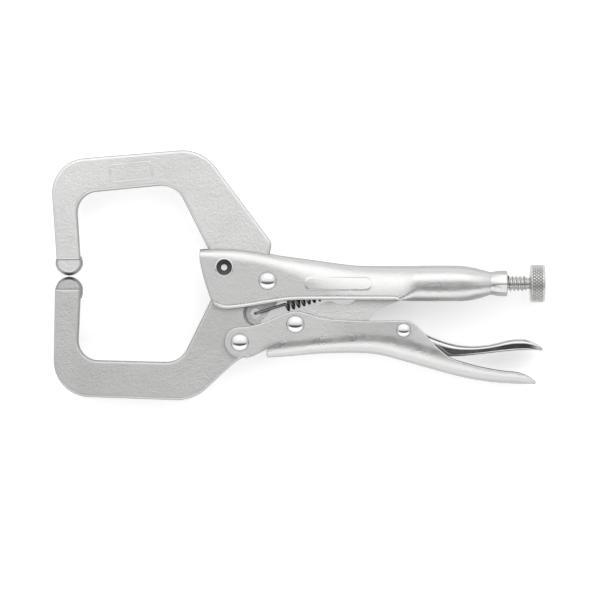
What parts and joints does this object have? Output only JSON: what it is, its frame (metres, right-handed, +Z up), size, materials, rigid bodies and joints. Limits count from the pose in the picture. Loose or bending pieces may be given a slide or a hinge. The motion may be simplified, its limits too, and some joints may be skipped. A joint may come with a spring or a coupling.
{
  "type": "locking c clamp",
  "caption": "Locking C clamp with forged C jaws, domed tips, folded sheet-metal handles, a toggle lock with a release lever, and a knurled adjusting screw.",
  "frame": {"origin": "middle of the bottom of the tool's box, lying on its side on a bench", "axes": "+X from the jaws to the adjusting knob, +Y from the lower handle to the upper handle, +Z up, across the tool's thickness"},
  "size_m": [0.1492, 0.0756, 0.0134],
  "materials": {
    "plated_forging": "satin nickel plate over forged steel, fine blasted grain",
    "plated_sheet": "satin nickel plate over folded sheet steel",
    "rivet_steel": "bright plated rivet heads",
    "spring_wire": "dark drawn spring wire",
    "screw_steel": "plated rolled thread",
    "knurled_steel": "diamond knurl, plated"
  },
  "bodies": {
    "upper_handle_body": {"upper_handle": "plated_sheet", "fixed_jaw": "plated_forging", "fixed_jaw_rivet": "rivet_steel", "jaw_pivot_rivet": "rivet_steel", "return_spring": "spring_wire"},
    "movable_jaw_body": {"movable_jaw": "plated_forging"},
    "lower_handle_body": {"lower_handle": "plated_sheet", "handle_pivot_rivet": "rivet_steel", "link_pivot_rivet": "rivet_steel", "release_lever_rivet": "rivet_steel"},
    "toggle_link_body": {"toggle_link": "plated_forging"},
    "release_lever_body": {"release_lever": "plated_sheet"},
    "screw_body": {"adjusting_screw": "screw_steel"},
    "knob_body": {"adjusting_knob": "knurled_steel"}
  },
  "joints": [
    {"name": "jaw_hinge", "type": "hinge", "parent": "upper_handle_body", "child": "movable_jaw_body", "pos_m": [-0.0094, -0.00168, 0.0067], "axis": [0, 0, 1], "range_deg": [0, 36.5], "deforming": ["return_spring"]},
    {"name": "handle_hinge", "type": "hinge", "parent": "movable_jaw_body", "child": "lower_handle_body", "pos_m": [-0.0178, -0.02028, 0.0067], "axis": [0, 0, 1], "range_deg": [-87.6, 0]},
    {"name": "link_hinge", "type": "hinge", "parent": "lower_handle_body", "child": "toggle_link_body", "pos_m": [-0.001, -0.01478, 0.0067], "axis": [0, 0, 1], "range_deg": [0, 77.8]},
    {"name": "release_lever_hinge", "type": "hinge", "parent": "lower_handle_body", "child": "release_lever_body", "pos_m": [0.0317, -0.01658, 0.0067], "axis": [0, 0, -1], "range_deg": [0, 9]},
    {"name": "screw_travel", "type": "slide", "parent": "upper_handle_body", "child": "screw_body", "axis": [1, 0, 0], "range_m": [0, 0.016]},
    {"name": "knob_turn", "type": "hinge", "parent": "screw_body", "child": "knob_body", "pos_m": [0.0723, -0.00248, 0.0067], "axis": [1, 0, 0], "range_deg": [0, 5014]}
  ],
  "couplings": [
    {"joint": "handle_hinge", "follows": "jaw_hinge", "ratio": -2.387},
    {"joint": "link_hinge", "follows": "jaw_hinge", "ratio": 2.117},
    {"joint": "knob_turn", "follows": "screw_travel", "rad_per_m": 5463.6}
  ]
}
